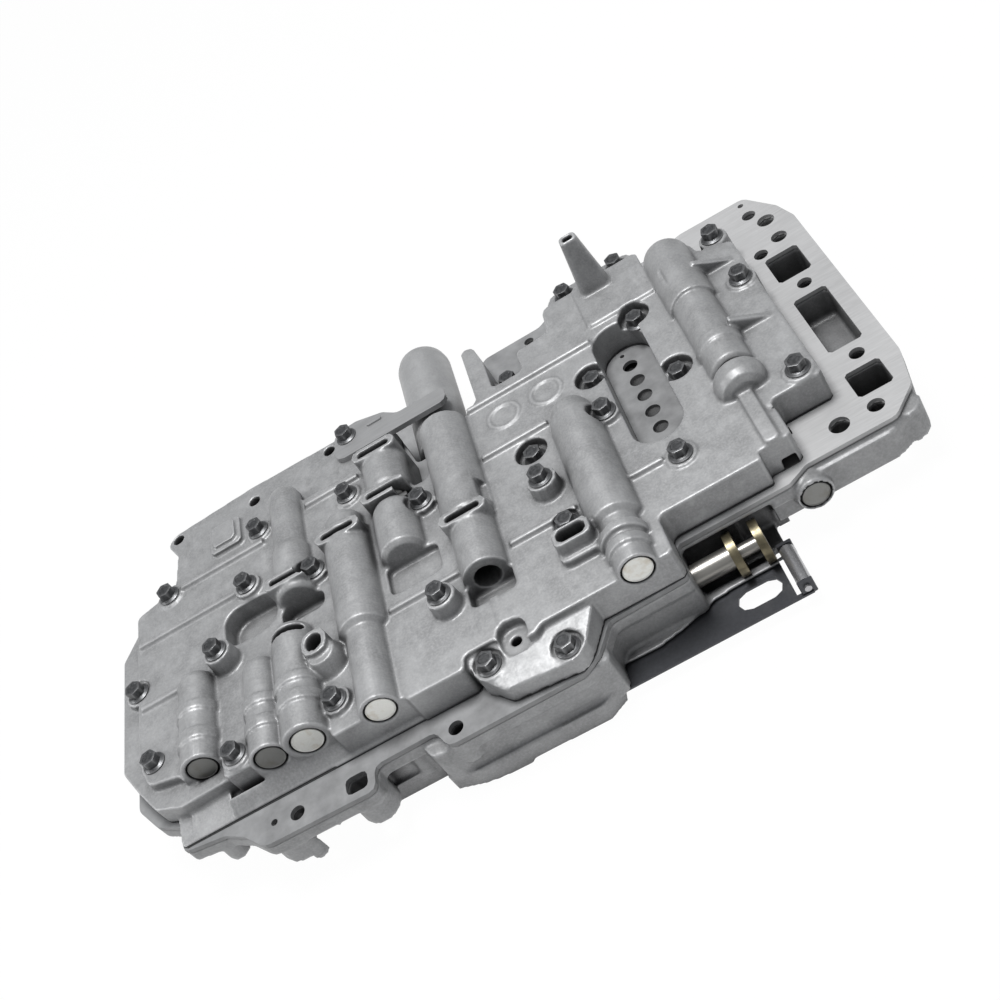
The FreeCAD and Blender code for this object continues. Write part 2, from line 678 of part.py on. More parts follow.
def raised_marks():
    """Plain rings cast beside the window, the ledge block and the flat pads."""
    shapes = []
    for x, y in ring_places:
        ring = post(x, y, skin - 1, skin + ring_rise, ring_out_r)
        shapes.append(ring.cut(post(x, y, skin - 2, skin + 2, ring_in_r)))
    shapes += [round_box(x0, x1, y0, y1, deck + low, deck + high, radius)
               for x0, x1, y0, y1, low, high, radius in raised_boxes]
    x, y, radius, rise = corner_boss
    shapes.append(post(x, y, upper_base, deck + rise, radius))
    return shapes


def upper_body():
    core = slab(skin_outline, upper_base, skin)
    low = slab(ledge_outline, upper_base, ledge)
    lug = slab(lug_outline, upper_base, deck + low_bolts[-1][2])
    solids = [core, low, lug, lobe()] + foot() + upper_humps() + slot_lips() + towers() + raised_marks()
    for x, y, rise in standing_bolts:
        solids.append(boss(x, y, deck + 4, deck + rise))
    for x, y, rise in tall_bolts:
        solids.append(boss(x, y, deck + 4, deck + rise, boss_top_r, 0.06))
    for x, y, rise in low_bolts:
        solids.append(boss(x, y, upper_base, deck + rise))
    x, y, rise, radius = rear_pad
    solids.append(boss(x, y, upper_base, deck + rise, radius))
    solids += [rib(x0, x1, y) for x0, x1, y in ribs]
    solids += [web(*place) for place in webs]
    solids.append(nozzle())
    body = joined(solids)
    holes = clear_holes(upper_base - 1, lip + 20)
    holes += [prism(x, y, deck + rise, lip + 20, pocket_r, pocket_sides) for x, y, rise in pocket_bolts[:4]]
    holes += [prism(x, y, deck + rise, lip + 20, boss_top_r, boss_sides)
              for x, y, rise in standing_bolts + tall_bolts + low_bolts[:2]]
    holes += [prism(x, y, deck + rise, lip + 20, spot_face_r, boss_sides)
              for x, y, rise in pocket_bolts[4:] + low_bolts[2:]]
    for name, b in bores.items():
        front, back = sorted((b["mouth"], b["end"]))
        way = 1 if b["end"] > b["mouth"] else -1
        seat = b["mouth"] + way * (plug_recess + plug_thick)
        holes.append(bar(b["x"], front, back, b["r"], axis_level, land_sides))
        low, high = sorted((b["mouth"] - way, seat))
        holes.append(bar(b["x"], low, high, b.get("plug", plug_r), axis_level, plug_sides))
    for name, b in keyed_bores.items():
        holes.append(bar(b["x"], b["mouth"] - 1, b["end"], b["r"], axis_level, land_sides))
    holes.append(bar(relay_x, relay_front, relay_back, relay_r, axis_level, land_sides))
    holes += key_slots() + tower_holes() + scoops() + [window(upper_base - 1, lip + 9)]
    holes += joint_slots(upper_base - 1, axis_level)
    x, y, radius = nose_hole
    holes.append(post(x, y, upper_base - 1, skin, radius))
    holes += [post(x, y, upper_base - 1, ledge + 1, flange_hole_r) for x, y in ledge_holes]
    holes.append(bolt_hole(strip_bolt[0], strip_bolt[1], upper_base - 1, ledge + 1, bolt_r + thread_gap))
    return cut_all(body, holes)


def port_cuts(low, high):
    """Rectangular oil ports along the right-hand edge."""
    return [round_box(x0, x1, y0, y1, low, high, port_corner) for x0, x1, y0, y1 in deck_ports]


def case_holes(low, high, all_round):
    """Holes for the bolts that hold the whole unit to the gearbox case."""
    cuts = []
    for x, y, radius in deck_holes:
        is_round = all_round or radius == case_bolt_r
        cuts.append(post(x, y, low, high, radius) if is_round else prism(x, y, low, high, radius, 8))
    x, y = front_slot
    cuts.append(round_box(x - 5.5, x + 5.5, y - 4.6, y + 4.6, low, high, 2.5))
    return cuts


def plate_cuts(low, high, all_round):
    return port_cuts(low, high) + case_holes(low, high, all_round)


def separator_plate():
    body = slab(plate_outline, plate_base, deck)
    cuts = plate_cuts(plate_base - 1, deck + 1, True) + clear_holes(plate_base - 1, deck + 1)
    cuts += joint_slots(plate_base - 1, deck + 1)
    cuts += [post(x, y, plate_base - 1, deck + 1, r) for x, y, r in window_holes]
    cuts += [side_box(x, y, tower_port, plate_base - 1, deck + 1, port_corner) for x, y in (oval_tower, square_tower)]
    return cut_all(body, cuts)


def lower_gasket():
    body = slab(plate_outline, lower_top, plate_base)
    cuts = plate_cuts(lower_top - 1, plate_base + 1, False) + clear_holes(lower_top - 1, plate_base + 1)
    cuts += joint_slots(lower_top - 1, plate_base + 1)
    cuts.append(trough(lower_top - 1, plate_base + 1))
    return cut_all(body, cuts)


def upper_gasket():
    shapes = [slab(o, deck, upper_base) for o in (skin_outline, ledge_outline, lobe_outline, lug_outline, foot_outline)]
    body = joined(shapes)
    cuts = clear_holes(deck - 1, upper_base + 1) + joint_slots(deck - 1, upper_base + 1)
    cuts.append(window(deck - 1, upper_base + 1))
    cuts += [side_box(x, y, tower_gasket_port, deck - 1, upper_base + 1, port_corner)
             for x, y in (oval_tower, square_tower)]
    cuts += [post(x, y, deck - 1, upper_base + 1, flange_hole_r) for x, y in ledge_holes]
    return cut_all(body, cuts)


def foot_posts():
    return [boss(x, y, 0, side_skirt_level + 1, foot_r, -0.1) for x, y in foot_places]


def strainer_rim(low, high):
    """Oval rim round the oil inlet, the main rest pad underneath."""
    x0, x1, y0, y1 = rim_box
    outer = round_box(x0, x1, y0, y1, low, high, rim_round)
    inner = round_box(x0 + rim_wall, x1 - rim_wall, y0 + rim_wall, y1 - rim_wall, low - 1, high + 1,
                      rim_round - rim_wall)
    return outer.cut(inner)


def lightening_pockets():
    """Cored pockets between the ribs of the lower casting's underside."""
    wide, deep = pocket_size
    taken = [(x - foot_r, x + foot_r, y - foot_r, y + foot_r) for x, y in foot_places]
    taken += [(x0 - 2, x1 + 2, y0 - 2, y1 + 2) for x0, x1, y0, y1 in deck_ports]
    taken.append((relief_x - relief_plug_r, relief_x + relief_plug_r, relief_mouth, relief_end))
    taken.append((accumulator_x - accumulator_r, accumulator_x + accumulator_r, accumulator_front - 8,
                  accumulator_back))
    cuts = []
    for col in range(pocket_cols):
        for row in range(pocket_rows):
            x = pocket_start[0] + col * (wide + pocket_rib)
            y = pocket_start[1] + row * (deep + pocket_rib)
            if all(x1 < x or x0 > x + wide or y1 < y or y0 > y + deep for x0, x1, y0, y1 in taken):
                cuts.append(round_box(x, x + wide, y, y + deep, -1, pocket_roof, pocket_corner))
    return cuts


def accumulator_housing():
    """Large round housing at the back, closed by a dome."""
    x, level = accumulator_x, accumulator_level
    back = accumulator_back
    body = hump(x, accumulator_front, back, accumulator_r, 0.8, accumulator_dome, level)
    root = box(x - accumulator_r + 0.5, x + accumulator_r - 0.5, 84, accumulator_front + 12, level - accumulator_r + 2, lower_top)
    return [body, root]


def lower_body():
    flange = slab(plate_outline, lower_top - lower_flange_thick, lower_top)
    skirt = slab(skirt_outline, skirt_level, lower_top - 2)
    x0, x1, y0, y1 = side_cut
    side = box(x0, x1, y0, y1, -1, side_skirt_level)
    solids = [flange, skirt.cut(side)] + foot_posts() + accumulator_housing()
    x0, x1, y0, y1 = valve_block
    solids.append(round_box(x0, x1, y0, y1, detent_face_level + block_clear, lower_top - 1, 3))
    x0, x1, y0, y1 = detent_pad
    solids.append(round_box(x0, x1, y0, y1, detent_face_level, lower_top - 1, 4))
    x0, x1, y0, y1, low = lever_wall
    solids.append(box(x0, x1, y0, y1, low, lower_top - 1))
    solids += [boss(x, y, low, lower_top - 1, r, 0.02) for x, y, r, low in front_bosses]
    solids.append(hump(relief_x, relief_mouth, relief_mouth + 14, relief_r + 2.6, 1, 0, relief_level))
    x0, x1, y0, y1, spare = lever_recess
    recess = round_box(x0, x1, y0, y1, -1, manual_level + collar_r + spare, 1.5)
    carved = cut_all(joined(solids), lightening_pockets() + [recess])
    seats = [post(x, y, 0, pocket_roof + 1, strainer_boss_r) for x, y in strainer_holes]
    x0, x1, y0, y1, low, high = lever_shelf
    shelf = box(x0, x1, y0, y1, low, high)
    body = joined([carved, strainer_rim(0, pocket_roof + 1), shelf] + seats)
    cuts = port_cuts(lower_top - port_deep, lower_top + 1) + case_holes(-1, lower_top + 1, False)
    cuts += [post(x, y, -1, strainer_hole_deep, strainer_hole_r) for x, y in strainer_holes]
    cuts += [bolt_hole(x, y, lower_top - bolt_bite, lower_top + 1, bolt_r + thread_gap)
             for x, y, rise in all_bolts()]
    cuts += joint_slots(lower_top - 5, lower_top + 1)
    cuts.append(trough(lower_top - trough_deep, lower_top + 1))
    cuts.append(Part.makeCylinder(manual_r, manual_bore_long, Vector(valve_block[1] + 1, manual_y, manual_level),
                                  Vector(-1, 0, 0)))
    x, level = accumulator_x, accumulator_level
    cuts.append(bar(x, accumulator_front - 1, accumulator_bore_back, accumulator_bore_r, level, piston_sides))
    cuts.append(bar(relief_x, relief_mouth - 1, relief_end, relief_r, relief_level, land_sides))
    plug_seat = relief_mouth + plug_recess + plug_thick
    cuts.append(bar(relief_x, relief_mouth - 1, plug_seat, relief_plug_r, relief_level, plug_sides))
    cuts += [bolt_hole(x, y, 0, detent_face_level + screw_bite, bolt_r + thread_gap) for x, y in detent_screws_at]
    return cut_all(body, cuts)


def cover_strip():
    body = slab(strip_outline, ledge, ledge + strip_thick)
    x, y = strip_bolt
    x0, x1, y0, y1, corner = strip_mark
    mark = round_box(x0, x1, y0, y1, ledge + strip_thick - 0.5, ledge + strip_thick + 1, corner)
    return joined([body, mark]).cut(bolt_hole(x, y, ledge - 1, ledge + strip_thick + 2))


def end_plug(x, mouth, way, radius, level=axis_level):
    """Flat round plug pushed just under the mouth of its bore."""
    low, high = sorted((mouth + way * plug_recess, mouth + way * (plug_recess + plug_thick - plug_gap)))
    return bar(x, low, high, radius, level, plug_sides)


def plugs(names):
    shapes = []
    for name in names:
        b = bores[name]
        way = 1 if b["end"] > b["mouth"] else -1
        shapes.append(end_plug(b["x"], b["mouth"], way, b.get("plug", plug_r) - plug_gap))
    return shapes


def retaining_keys():
    shapes = []
    for x, y in key_places():
        half, deep = key_wide / 2, key_thick / 2
        shapes.append(box(x - half, x + half, y - deep, y + deep, axis_level - key_below, axis_level + key_above))
    return shapes


def manual_valve():
    """Hand-selected valve along X with the two collars that its lever sits between."""
    right = valve_block[1]
    land = manual_r - slide_gap
    neck = land * neck_share
    steps = [(-manual_bore_long + 22, land), (-76, land), (-76, neck), (-54, neck), (-54, land),
             (collar_one, land), (collar_one, collar_r), (collar_one + collar_thick, collar_r),
             (collar_one + collar_thick, neck), (collar_two, neck), (collar_two, collar_r),
             (collar_two + collar_thick, collar_r)]
    points = [Vector(right + steps[0][0], 0, 0)] + [Vector(right + x, r, 0) for x, r in steps]
    points += [Vector(right + steps[-1][0], 0, 0), Vector(right + steps[0][0], 0, 0)]
    path = [Part.LineSegment(s, e).toShape() for s, e in zip(points, points[1:]) if (e - s).Length > 1e-6]
    body = Part.Face(Part.Wire(path)).revolve(Vector(0, 0, 0), Vector(1, 0, 0), 360)
    body.translate(Vector(0, manual_y, manual_level))
    return body


def detent_spring():
    """Flat spring arm with a long slot and two ears that carry the roller pin."""
    top = detent_face_level
    low = top - detent_thick
    body = slab(detent_outline, low, top)
    ears = [round_box(roller_x - ear_wide / 2, roller_x + ear_wide / 2, y, y + ear_thick, low, roller_level + 3.6, 0.4)
            for y in ear_places]
    x0, x1, y0, y1 = detent_slot
    cuts = [round_box(x0, x1, y0, y1, low - 1, top + 1, (y1 - y0) / 2 - 0.01)]
    cuts += [post(x, y, low - 1, top + 1, bolt_r + bolt_gap) for x, y in detent_screws_at]
    inner = [ear_places[0] + ear_thick, ear_places[1]]
    cuts.append(box(roller_x - 5.5, roller_x + 9, inner[0], inner[1], low - 1, roller_level + 9))
    cuts.append(Part.makeCylinder(pin_r + 0.03, 60, Vector(roller_x, ear_places[0] - 10, roller_level), Vector(0, 1, 0)))
    return joined([body] + ears).cut(Part.makeCompound(cuts))


def detent_screws():
    """Low-headed screws driven upwards through the root of the detent spring."""
    screws = []
    for x, y in detent_screws_at:
        screw = flange_bolt(0, 0, 0, -(screw_bite - 0.5), screw_head)
        screw.rotate(Vector(0, 0, 0), Vector(1, 0, 0), 180)
        screw.translate(Vector(x, y, detent_face_level - detent_thick))
        screws.append(screw)
    return screws


def roller_parts():
    """Roller on its pin, both along Y between the ears of the spring."""
    first, second = ear_places
    way = Vector(0, 1, 0)
    pin_from = first - 1.2
    pin_to = second + ear_thick + 1.2
    pin = Part.makeCylinder(pin_r, pin_to - pin_from, Vector(roller_x, pin_from, roller_level), way)
    roll_from = first + ear_thick + 0.4
    roll_to = second - 0.4
    roll = Part.makeCylinder(roller_r, roll_to - roll_from, Vector(roller_x, roll_from, roller_level), way)
    roll = roll.cut(Part.makeCylinder(pin_r + 0.05, roll_to - roll_from + 2, Vector(roller_x, roll_from - 1, roller_level), way))
    return pin, roll


def accumulator_parts():
    """Piston, its spring sleeve and the cap inside the large rear housing."""
    x, level = accumulator_x, accumulator_level
    r = accumulator_bore_r
    cap_back = accumulator_front + plug_recess + plug_thick
    cap = bar(x, accumulator_front + plug_recess, cap_back, r - plug_gap, level, piston_sides)
    start = cap_back + end_gap
    seat = start + piston_long
    solid = r - slide_gap
    piston = bar(x, start, seat, solid, level, piston_sides)
    far = accumulator_bore_back - end_gap
    outer = r - spring_gap
    sleeve = bar(x, seat + touch_gap, far, outer, level, spring_sides)
    sleeve = sleeve.cut(bar(x, seat + touch_gap, far, outer - spring_wall, level, spring_sides))
    return piston, sleeve, cap


def group(shapes):
    return Part.makeCompound(shapes)


def save(name, shape):
    shape.exportStep("parts/" + name + ".step")


def main():
    os.makedirs("parts", exist_ok=True)
    bite = lower_top - bolt_bite + 1
    save("upper_body", upper_body())
    save("lower_body", lower_body())
    save("separator_plate", separator_plate())
    save("upper_gasket", upper_gasket())
    save("lower_gasket", lower_gasket())
    save("cover_strip", cover_strip())
    save("bright_plugs", group(plugs(["shift_valve_c", "shift_valve_d", "throttle_valve"])))
    dark = plugs(["shift_valve_a", "shift_valve_b", "lockup_valve"])
    dark.append(end_plug(relief_x, relief_mouth, 1, relief_plug_r - plug_gap, relief_level))
    save("dark_plugs", group(dark))
    save("retaining_keys", group(retaining_keys()))
    save("body_bolts", group([flange_bolt(x, y, deck + rise, bite) for x, y, rise in standing_bolts]))
    save("long_bolts", group([flange_bolt(x, y, deck + rise, bite) for x, y, rise in tall_bolts]))
    save("short_bolts", group([flange_bolt(x, y, deck + rise, bite) for x, y, rise in low_bolts]))
    save("pocket_bolts", group([flange_bolt(x, y, deck + rise, bite) for x, y, rise in pocket_bolts]))
    save("strip_bolt", flange_bolt(strip_bolt[0], strip_bolt[1], ledge + strip_thick, upper_base + 1))
    for name, place in train_places().items():
        valve, spring = valve_and_spring(*place)
        save(name, valve)
        save(name.replace("_valve", "") + "_spring", spring)
    piston, sleeve, cap = accumulator_parts()
    save("accumulator_piston", piston)
    save("accumulator_spring", sleeve)
    save("accumulator_cap", cap)
    save("manual_valve", manual_valve())
    save("detent_spring", detent_spring())
    pin, roll = roller_parts()
    save("roller_pin", pin)
    save("detent_roller", roll)
    save("detent_screws", group(detent_screws()))


main()
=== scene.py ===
import math

import bmesh
import bpy
from mathutils import Matrix, Vector


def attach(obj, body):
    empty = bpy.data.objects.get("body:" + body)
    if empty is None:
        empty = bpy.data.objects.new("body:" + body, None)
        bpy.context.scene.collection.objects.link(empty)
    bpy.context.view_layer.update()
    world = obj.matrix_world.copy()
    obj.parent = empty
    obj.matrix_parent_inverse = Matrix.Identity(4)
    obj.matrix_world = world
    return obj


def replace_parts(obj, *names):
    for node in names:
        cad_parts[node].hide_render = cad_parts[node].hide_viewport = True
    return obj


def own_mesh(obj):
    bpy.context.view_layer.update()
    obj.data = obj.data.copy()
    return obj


# Looks of the gearbox control unit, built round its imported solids. Metres, Z up.
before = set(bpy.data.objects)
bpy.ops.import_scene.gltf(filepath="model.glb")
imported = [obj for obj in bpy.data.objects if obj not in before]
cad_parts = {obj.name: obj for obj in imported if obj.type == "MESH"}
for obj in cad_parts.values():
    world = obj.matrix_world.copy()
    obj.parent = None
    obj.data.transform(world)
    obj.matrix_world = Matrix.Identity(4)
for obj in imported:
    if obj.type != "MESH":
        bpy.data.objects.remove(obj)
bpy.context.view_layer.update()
scene = bpy.context.scene
mm = 0.001

# Camera of the photograph: place, picture axes and lens
camera_place = Vector((0.11965, -0.48069, 0.46082))
camera_right = Vector((0.8592, -0.2031, -0.4696))
camera_up = Vector((0.4852, 0.6147, 0.6219))
camera_back = Vector((0.1624, -0.7622, 0.6267))
lens_mm = 50.4
sensor_mm = 36.0

# Mesh fineness of the two castings, in millimetres, and the faces kept
upper_voxel = 0.75
lower_voxel = 1.0
upper_faces = 185000
lower_faces = 120000
soften_passes = 2

# Flange bolts: plain sizes, points round a head, and the turn from one head to the next in radians
bolt_head = 5.7 * mm
bolt_hexagon = 8.1 * mm
flange_r = 5.95 * mm
flange_rise = 1.6 * mm
shank_r = 2.5 * mm
tip_chamfer = 0.4 * mm
head_points = 48
head_turn_step = 0.7

# End plugs: how deep the face is dished, and points round the rim
plug_dish = 0.25 * mm
plug_points = 64

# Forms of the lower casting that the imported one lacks, fused into it: outline in x and y,
# lowest and highest level, all in millimetres
lower_forms = [
    # Wall beside the lever recess
    ([(64, -39.5), (103.5, -39.5), (103.5, -36.2), (64, -36.2)], 3.0, 29.0),
    # Floor under the manual valve
    ([(73, -55), (77, -59), (112, -59), (112, -48), (73, -48)], 1.2, 4.6),
    # Web under the cover strip, by the large cylinder
    ([(-46, 104), (-22, 104), (-22, 160), (-36, 164), (-46, 146)], 12.0, 17.0),
    # Shelf over the root of the detent spring
    ([(31, -64), (33, -71), (50, -71.5), (62, -69), (71, -66), (80, -62.5), (96, -61.2), (112, -61.2),
      (112, -57), (77, -57), (77, -64)], 7.2, 9.0),
    # Front wall, the foot that stands out of it, and its lower end on the left
    ([(-58, -84), (-44, -88.6), (18, -89.2), (27, -84), (30, -70), (30, -60), (-58, -60)], 1.5, 12.0),
    ([(-40, -88.8), (-22, -89.4), (-20, -84), (-42, -84)], 0.6, 8.0),
    ([(-100, -74), (-60, -74), (-56, -62), (-100, -62)], 2.0, 12.0),
]

# Return springs: wire, rise of one turn, and how far each is pressed together
wire_r = 0.5 * mm
wire_sides = 8
coil_pitch = 2.6 * mm
coil_steps = 20
least_turns = 4

# A plug that lies past this place in x and z closes a bore from behind
back_plug_past = (120 * mm, 40 * mm)

# Manual valve: its axis in y and z, and the radius of its lands
manual_axis = (-52.5 * mm, 16.8 * mm)
manual_land_r = 5.5 * mm

# How near walls are that darken a corner, a hollow, a bolt's foot and a plug's rim with painted shade
corner_reach = 9 * mm
hollow_reach = 26 * mm
bolt_reach = 3 * mm
rim_reach = 2.2 * mm

# Where painted light makes the large cylinder paler in y, where the plate's painted shade gives way in x,
# and over what length
painted_light_from = 105 * mm
painted_light_fade = 20 * mm
plate_lit_from = 135 * mm
plate_lit_fade = 30 * mm

# Colours, as plain linear values
cast_grey = (0.250, 0.252, 0.255)
# Painted shade in the castings' corners
cast_dark = (0.055, 0.055, 0.056)
# Pale tone of the castings, also used for their painted highlight on edges and painted light on the lower
# casting's back
cast_light = (0.50, 0.503, 0.508)
hollow_black = (0.012, 0.012, 0.013)
plate_grey = (0.42, 0.42, 0.422)
# Painted shade on the left of the plate
plate_shade = (0.205, 0.207, 0.210)
strip_grey = (0.33, 0.332, 0.336)
bolt_grey = (0.055, 0.056, 0.058)
bolt_worn = (0.36, 0.362, 0.368)
plug_white = (0.78, 0.78, 0.74)
plug_stain = (0.42, 0.33, 0.20)
plug_dark = (0.22, 0.22, 0.21)
plug_dark_stain = (0.12, 0.10, 0.07)
gasket_black = (0.045, 0.045, 0.046)
gasket_grey = (0.20, 0.20, 0.20)
valve_grey = (0.55, 0.55, 0.54)
spool_steel = (0.30, 0.29, 0.27)
collar_brown = (0.105, 0.092, 0.060)
wire_grey = (0.2, 0.2, 0.2)
spring_black = (0.058, 0.060, 0.066)
roller_grey = (0.42, 0.42, 0.43)
key_grey = (0.20, 0.20, 0.20)
sky_white = (0.95, 0.97, 1.0)
paper_white = (0.85, 0.85, 0.85)

# Lamps: name, place, aim, size in metres and power in watts
lamps = [
    ("key", (0.05, 0.12, 1.35), (0.0, 0.02, 0.03), 0.5, 20.0),
    ("side", (-1.1, 0.1, 0.65), (-0.05, 0.0, 0.03), 0.5, 3.5),
    ("fill", (-0.45, -1.0, 0.8), (-0.05, 0.0, 0.03), 0.9, 1.0),
]

# Strength of the sky that lights the part, and how much of the floor's white is its own glow
sky_light = 0.34
floor_glow = 0.98
floor_half = 3.0

# Sockets of the node that mixes two colours: its share, the colours and the result
mix_inputs = (0, 6, 7)
mix_output = 2


def scaled(colour, share):
    """A colour made darker or lighter."""
    return tuple(c * share for c in colour)


class Shader:
    """Small helper that builds a node material step by step."""

    def __init__(self, name):
        self.material = bpy.data.materials.new(name)
        self.material.use_nodes = True
        self.tree = self.material.node_tree
        self.surface = self.tree.nodes["Principled BSDF"]
        self.coords = self.add("ShaderNodeTexCoord").outputs["Object"]

    def add(self, kind, **values):
        """New node with some of its settings."""
        node = self.tree.nodes.new(kind)
        for key, value in values.items():
            setattr(node, key, value)
        return node

    def link(self, start, end):
        """Joins an output to an input."""
        self.tree.links.new(start, end)

    def noise(self, scale, detail=4.0, rough=0.55, stretch=None):
        """Noise over the piece, drawn out along an axis where a stretch is given."""
        node = self.add("ShaderNodeTexNoise")
        node.inputs["Scale"].default_value = scale
        node.inputs["Detail"].default_value = detail
        node.inputs["Roughness"].default_value = rough
        source = self.coords
        if stretch:
            mapping = self.add("ShaderNodeMapping")
            mapping.inputs["Scale"].default_value = stretch
            self.link(source, mapping.inputs["Vector"])
            source = mapping.outputs["Vector"]
        self.link(source, node.inputs["Vector"])
        return node.outputs["Fac"]

    def ramp(self, source, stops):
        """Colours along a value, each with its place from 0 to 1."""
        node = self.add("ShaderNodeValToRGB")
        bar = node.color_ramp.elements
        while len(bar) < len(stops):
            bar.new(0.5)
        for element, (place, colour) in zip(bar, stops):
            element.position = place
            element.color = (*colour, 1.0)
        self.link(source, node.inputs["Fac"])
        return node.outputs["Color"]

    def mix(self, share, first, second):
        """Blend of two colours, each of them plain or made by nodes."""
        node = self.add("ShaderNodeMix", data_type="RGBA")
        for number, value in zip(mix_inputs, (share, first, second)):
            socket = node.inputs[number]
            if isinstance(value, float):
                socket.default_value = value
            elif isinstance(value, tuple):
                socket.default_value = (*value, 1.0)
            else:
                self.link(value, socket)
        return node.outputs[mix_output]

    def span(self, source, low, high, to_low=0.0, to_high=1.0):
        """Moves the stretch of a value from low to high onto another stretch."""
        node = self.add("ShaderNodeMapRange")
        limits = {"From Min": low, "From Max": high, "To Min": to_low, "To Max": to_high}
        for name, value in limits.items():
            node.inputs[name].default_value = value
        self.link(source, node.inputs["Value"])
        return node.outputs["Result"]

    def split_coords(self):
        """The place of a point as its x, y and z."""
        parts = self.add("ShaderNodeSeparateXYZ")
        self.link(self.coords, parts.inputs[0])
        return parts.outputs

    def bump(self, height, strength, distance):
        """Raises the surface a little by a height."""
        node = self.add("ShaderNodeBump")
        node.inputs["Strength"].default_value = strength
        node.inputs["Distance"].default_value = distance
        self.link(height, node.inputs["Height"])
        self.link(node.outputs["Normal"], self.surface.inputs["Normal"])

    def occlusion(self, distance):
        """How open a point is: 1 in the open, towards 0 where walls are near."""
        node = self.add("ShaderNodeAmbientOcclusion", samples=6)
        node.inputs["Distance"].default_value = distance
        return node.outputs["AO"]

    def hollow(self):
        """Share of shade deep inside bores, ports and slots."""
        return self.span(self.occlusion(hollow_reach), 0.06, 0.50, to_low=0.95, to_high=0.0)

    def finish(self, colour, roughness, metallic):
        """Puts colour, roughness and metal on the surface; the roughness may be one number."""
        self.link(colour, self.surface.inputs["Base Color"])
        if isinstance(roughness, float):
            self.surface.inputs["Roughness"].default_value = roughness
        else:
            self.link(roughness, self.surface.inputs["Roughness"])
        self.surface.inputs["Metallic"].default_value = metallic
        return self.material


def cast_metal(name, tone, painted_light_back=False):
    """Blasted die casting: fine speckle, edges paler from wear and a painted highlight, painted shade in
    the corners.
    """
    s = Shader(name)
    mid = scaled(cast_grey, tone)
    light = scaled(cast_light, tone)
    blotches = s.ramp(s.noise(28.0, detail=3.0), [(0.3, scaled(mid, 0.84)), (0.7, scaled(mid, 1.12))])
    speckle = s.span(s.noise(900.0, detail=3.0, rough=0.6), 0.40, 0.75, to_high=0.30)
    mottled = s.mix(s.span(s.noise(95.0, rough=0.6), 0.35, 0.7, to_high=0.28), blotches, light)
    grain = s.mix(speckle, mottled, light)
    streaks = s.span(s.noise(160.0, detail=5.0, rough=0.65, stretch=(1.0, 0.35, 1.0)), 0.55, 0.8)
    worn = s.mix(streaks, grain, s.mix(0.35, grain, light))
    # Pale edges: partly wear, partly a painted highlight
    point = s.add("ShaderNodeNewGeometry").outputs["Pointiness"]
    edge = s.span(point, 0.515, 0.58, to_high=0.85)
    worn_and_lit_edges = s.mix(edge, worn, light)
    # Painted shade: darker where walls are near, in corners and creases
    corner_shade = s.span(s.occlusion(corner_reach), 0.25, 0.88, to_low=0.9, to_high=0.0)
    corner_shaded = s.mix(corner_shade, worn_and_lit_edges, scaled(cast_dark, tone))
    colour = s.mix(s.hollow(), corner_shaded, hollow_black)
    if painted_light_back:
        # Painted light: the back of the lower casting, where the large cylinder is, turns paler
        behind = s.span(s.split_coords()["Y"], painted_light_from, painted_light_from + painted_light_fade, to_high=0.3)
        colour = s.mix(behind, colour, cast_light)
    rough = s.span(s.noise(300.0, detail=3.0), 0.2, 0.8, to_low=0.40, to_high=0.58)
    uneven = s.mix(0.75, s.noise(480.0, rough=0.62), s.noise(85.0, detail=3.0))
    s.bump(uneven, strength=0.22, distance=0.8 * mm)
    return s.finish(colour, rough, metallic=0.42)


def milled_steel(name, colour, rough, metallic, shaded_left=False):
    """Flat steel with fine marks along one way and faint stains, with painted shade darkening the left
    where asked.
    """
    s = Shader(name)
    marks = s.noise(1400.0, detail=3.0, rough=0.6, stretch=(0.06, 1.0, 1.0))
    stains = s.noise(22.0)
    shade = s.ramp(stains, [(0.3, scaled(colour, 0.82)), (0.68, colour)])
    fine = s.mix(s.span(marks, 0.35, 0.75, to_high=0.35), shade, scaled(colour, 1.3))
    if shaded_left:
        # Painted shade: the plate darker on the left, mottled with faint stains
        shade_share = s.span(s.split_coords()["X"], plate_lit_from - plate_lit_fade, plate_lit_from, to_low=1.0, to_high=0.0)
        painted_shade = [(0.3, scaled(plate_shade, 0.78)), (0.7, scaled(plate_shade, 1.3))]
        fine = s.mix(shade_share, fine, s.ramp(s.noise(75.0, detail=5.0, rough=0.6), painted_shade))
    s.bump(marks, strength=0.06, distance=0.1 * mm)
    return s.finish(fine, s.span(marks, 0.2, 0.8, *rough), metallic)


def two_tone_spool():
    """Ground shaft with browned collars, told apart by their distance from the valve's axis."""
    s = Shader("manual_spool")
    parts = s.split_coords()
    across = s.add("ShaderNodeCombineXYZ")
    s.link(parts["Y"], across.inputs["Y"])
    s.link(parts["Z"], across.inputs["Z"])
    reach = s.add("ShaderNodeVectorMath", operation="DISTANCE")
    s.link(across.outputs[0], reach.inputs[0])
    reach.inputs[1].default_value = (0.0, *manual_axis)
    collar = s.span(reach.outputs["Value"], manual_land_r + 0.2 * mm, manual_land_r + 0.6 * mm)
    stained = s.ramp(s.noise(260.0), [(0.3, collar_brown), (0.75, scaled(collar_brown, 2.2))])
    rough = s.span(s.noise(900.0), 0.2, 0.8, to_low=0.28, to_high=0.42)
    return s.finish(s.mix(collar, spool_steel, stained), rough, metallic=0.85)


